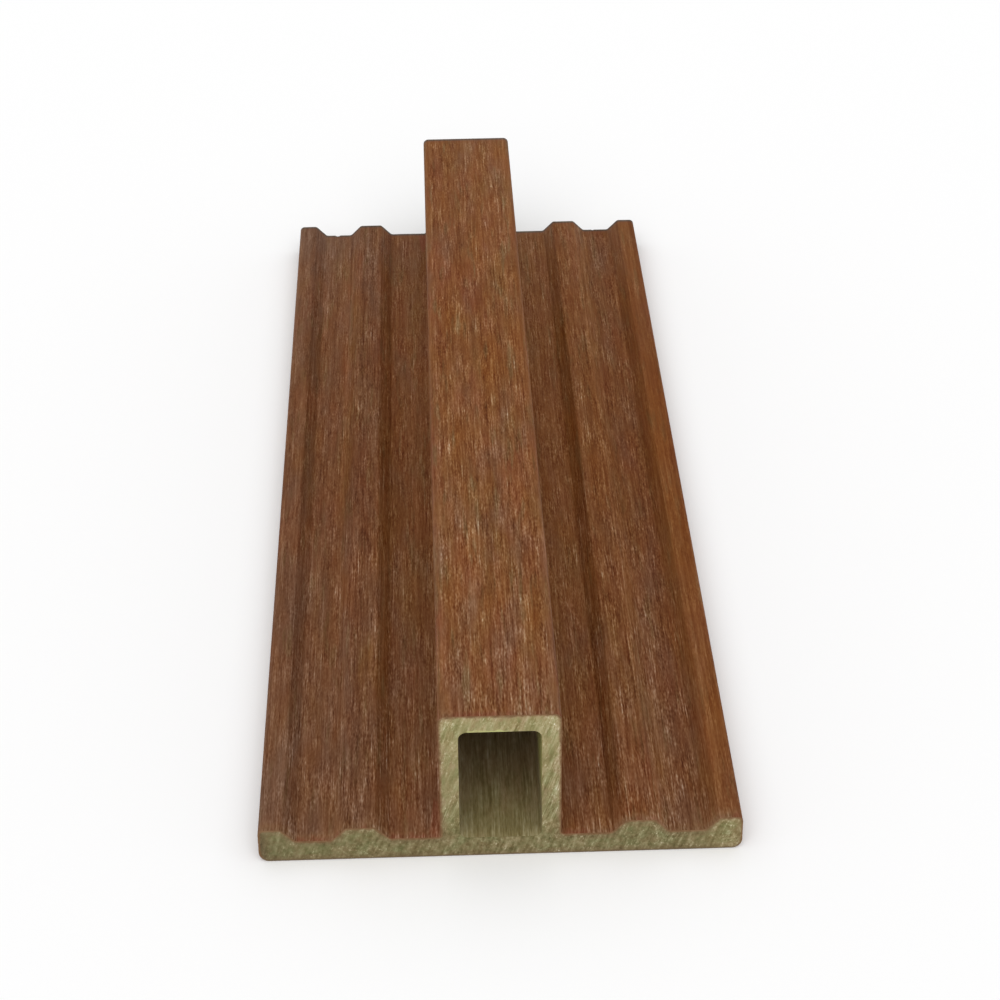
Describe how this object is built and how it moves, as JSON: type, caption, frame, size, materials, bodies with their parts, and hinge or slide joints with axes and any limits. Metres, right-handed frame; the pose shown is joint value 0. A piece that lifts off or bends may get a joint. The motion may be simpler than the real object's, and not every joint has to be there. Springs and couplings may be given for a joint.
{
  "type": "composite siding trim",
  "caption": "Hollow joint trim for siding boards: a flat base with a raised box rib along its middle, and a ridge and an edge lip on each side.",
  "frame": {"origin": "middle of the flat back that the trim lies on", "axes": "+Y along the length, +Z out of the back towards the face of the rib, +X across the base"},
  "size_m": [0.08, 0.23, 0.0284],
  "materials": {
    "composite": "matte"
  },
  "bodies": {
    "root": {"trim_profile": "composite"}
  },
  "joints": []
}
